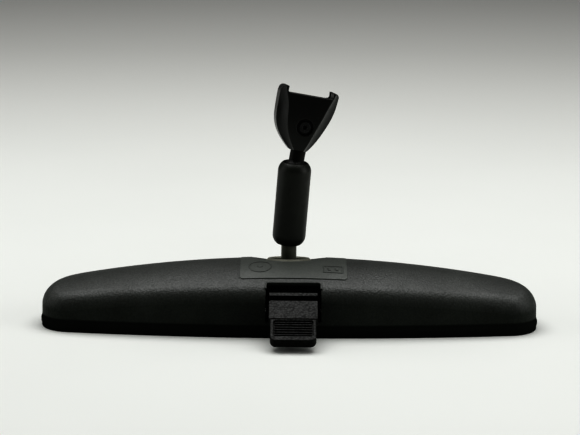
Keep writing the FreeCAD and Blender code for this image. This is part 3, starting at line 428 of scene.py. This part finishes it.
def add_heel(mesh):
    """The part in the slot: a neck, an upright heel, and the bar along its top."""
    add_block(mesh, (LEVER_X - NECK_HALF, -8.5, 12.0), (LEVER_X + NECK_HALF, 0.4, 18.5), 0.5)
    add_block(mesh, (LEVER_X - HEEL_HALF, -1.0, 12.0), (LEVER_X + HEEL_HALF, 0.8, 22.4), 0.4)
    bar = soft_outline([(-2.8, 21.4, 0.4), (-0.1, 21.4, 0.4), (-0.1, 23.0, 0.4), (-1.0, 23.0, 0.4),
                        (-2.8, 21.9, 0.4)], steps=3)
    add_plate(mesh, on_lever @ ALONG_X, [bar], -BAR_HALF, BAR_HALF, 0.2)


def add_cheeks(mesh):
    """The lugs on both sides that carry the lever on its pin."""
    for side in (-1, 1):
        for near_x, far_x, low, high in ((CHEEK_INNER, TAB_HALF, (-0.4, 9.0), (11.0, 16.0)),
                                         (TAB_HALF - 0.5, CHEEK_OUTER, (1.6, 8.6), (8.4, 15.4))):
            inner, outer = sorted((LEVER_X + side * near_x, LEVER_X + side * far_x))
            add_block(mesh, (inner, *low), (outer, *high), 0.5)


lever_mesh = bmesh.new()
add_thumb_rest(lever_mesh)
add_heel(lever_mesh)
add_cheeks(lever_mesh)
piece("lever_shown", lever_mesh, "lever", "lever_plastic", "lever", "toggle_lever")

# ---------------------------------------------------------------- bead round the slot, in millimetres
CROWN_HEIGHT, CROWN_RADIUS, CROWN_Y = 32.3, 52.0, 26.05
SLOT_HALF, SLOT_REAR = 13.9, 3.05
SLOT_LEFT, SLOT_RIGHT = LEVER_X - SLOT_HALF, LEVER_X + SLOT_HALF
BEAD_RADIUS = 0.55
CORNER = 0.35


def crown(y):
    """Height of the case's back over the lever, at a place front to rear."""
    return CROWN_HEIGHT - CROWN_RADIUS + math.sqrt(CROWN_RADIUS**2 - (y - CROWN_Y) ** 2)


def tube(name, points, radius, body, slot, finish):
    """A round bead along an open line of points in millimetres."""
    curve = bpy.data.curves.new(name, "CURVE")
    curve.dimensions = "3D"
    curve.bevel_depth = radius * MM
    curve.bevel_resolution = 4
    curve.use_fill_caps = True
    line = curve.splines.new("POLY")
    line.points.add(len(points) - 1)
    for point, given in zip(line.points, points):
        point.co = (*(Vector(given) * MM), 1.0)
    carrier = bpy.data.objects.new(name, curve)
    mesh = bmesh.new()
    mesh.from_mesh(bpy.data.meshes.new_from_object(carrier))
    bpy.data.objects.remove(carrier)
    piece(name, mesh, body, slot, finish)


side_places = (-0.6, 0.6, 1.8)
rear_places = (SLOT_LEFT + 1.2, LEVER_X, SLOT_RIGHT - 1.2)
corner_y = SLOT_REAR - CORNER
corner_z = crown(SLOT_REAR) - 0.1
rim_line = [(SLOT_LEFT, y, crown(y) - 0.15) for y in side_places]
rim_line += [(SLOT_LEFT + CORNER, corner_y, corner_z)]
rim_line += [(x, SLOT_REAR, crown(SLOT_REAR)) for x in rear_places]
rim_line += [(SLOT_RIGHT - CORNER, corner_y, corner_z)]
rim_line += [(SLOT_RIGHT, y, crown(y) - 0.15) for y in reversed(side_places)]
tube("slot_bead", rim_line, BEAD_RADIUS, "case", "case_plastic", "case")


# ---------------------------------------------------------------- floor
def pale_floor():
    """A wide table covered with pale paper, with painted shade greying it behind the object and painted light
    making it lighter again well beyond.
    """
    left, right, front, rear = -2.6, 2.6, -2.4, 3.4
    corners = [(left, front, 0), (right, front, 0), (right, rear, 0), (left, rear, 0)]
    mesh = bpy.data.meshes.new("floor")
    mesh.from_pydata(corners, [], [(0, 1, 2, 3)])
    floor = bpy.data.objects.new("floor", mesh)
    bpy.context.scene.collection.objects.link(floor)
    t = Tree("floor_paper")
    soft = t.noise(3.0, 3.0, 0.5)
    fibre = t.noise(900.0, 3.0, 0.6)
    tone = t.mix(t.remap(soft, 0.35, 0.65, 0.0, 1.0), (0.80, 0.815, 0.785), (0.83, 0.845, 0.815))
    depth = t.node("ShaderNodeSeparateXYZ")
    t.link(t.where, depth.inputs["Vector"])
    painted_shade_behind = t.node("ShaderNodeMapRange", interpolation_type="SMOOTHSTEP")
    for socket, given in zip(painted_shade_behind.inputs, (depth.outputs["Y"], 0.15, 0.95, 0.0, 1.0)):
        t.feed(socket, given)
    # Painted shade: the paper is greyed behind the object.
    tone = t.mix(painted_shade_behind.outputs["Result"], tone, (0.77, 0.775, 0.745))
    # Painted light: the paper is made lighter again well beyond that.
    tone = t.mix(t.remap(depth.outputs["Y"], 0.95, 1.9, 0.0, 1.0), tone, (0.93, 0.93, 0.90))
    gloss = t.remap(fibre, 0.3, 0.7, 0.55, 0.7)
    floor.data.materials.append(t.finish(tone, gloss, t.bump(fibre, 0.00003)))


pale_floor()


# ---------------------------------------------------------------- light
def area(name, place, target, width, height, power):
    """A rectangular lamp at a place, aimed at a target; metres and watts."""
    data = bpy.data.lights.new(name, "AREA")
    data.shape = "RECTANGLE"
    data.size, data.size_y = width, height
    data.energy = power
    lamp = bpy.data.objects.new(name, data)
    bpy.context.scene.collection.objects.link(lamp)
    lamp.location = place
    lamp.rotation_euler = (Vector(target) - Vector(place)).to_track_quat("-Z", "Y").to_euler()


area("overhead", (0.0, 0.24, 1.1), (0, 0.14, 0), 1.5, 0.9, 8.8)
MID_OBJECT = (0, 0, 0.08)
area("left_card", (-0.9, 0.05, 0.35), MID_OBJECT, 0.6, 0.7, 1.0)
area("right_card", (0.9, -0.20, 0.35), MID_OBJECT, 0.6, 0.7, 1.8)
world = bpy.data.worlds.new("studio")
bpy.context.scene.world = world
world.use_nodes = True
background = world.node_tree.nodes["Background"]
background.inputs["Color"].default_value = (1.0, 1.0, 0.985, 1.0)
background.inputs["Strength"].default_value = 0.08


# ---------------------------------------------------------------- camera
ELEVATION = math.radians(14.0)
ROLL = math.radians(0.5)
DISTANCE = 0.9
WIDTH_AT_TARGET = 0.2906
SENSOR_WIDTH = 36.0
AIM_ABOVE_FOOT = 0.060625
AIM_LEFT_OF_MIDDLE = 0.00005
case_low, case_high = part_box("mirror_case")
across = Vector((1, 0, 0))
view = Vector((0, math.cos(ELEVATION), -math.sin(ELEVATION)))
up = across.cross(view)
near_foot = Vector(((case_low.x + case_high.x) / 2, case_low.y, 0.0))
target = near_foot + up * AIM_ABOVE_FOOT - across * AIM_LEFT_OF_MIDDLE
camera_data = bpy.data.cameras.new("camera")
camera = bpy.data.objects.new("camera", camera_data)
bpy.context.scene.collection.objects.link(camera)
camera_data.sensor_width = SENSOR_WIDTH
camera_data.lens = SENSOR_WIDTH * DISTANCE / WIDTH_AT_TARGET
camera_data.clip_start, camera_data.clip_end = 0.05, 20.0
aim = Matrix((across, up, -view)).transposed().to_4x4()
camera.matrix_world = Matrix.Translation(target - view * DISTANCE) @ aim @ Matrix.Rotation(ROLL, 4, "Z")
bpy.context.scene.camera = camera
bpy.context.scene.view_settings.view_transform = "Standard"
bpy.context.scene.view_settings.look = "Very High Contrast"
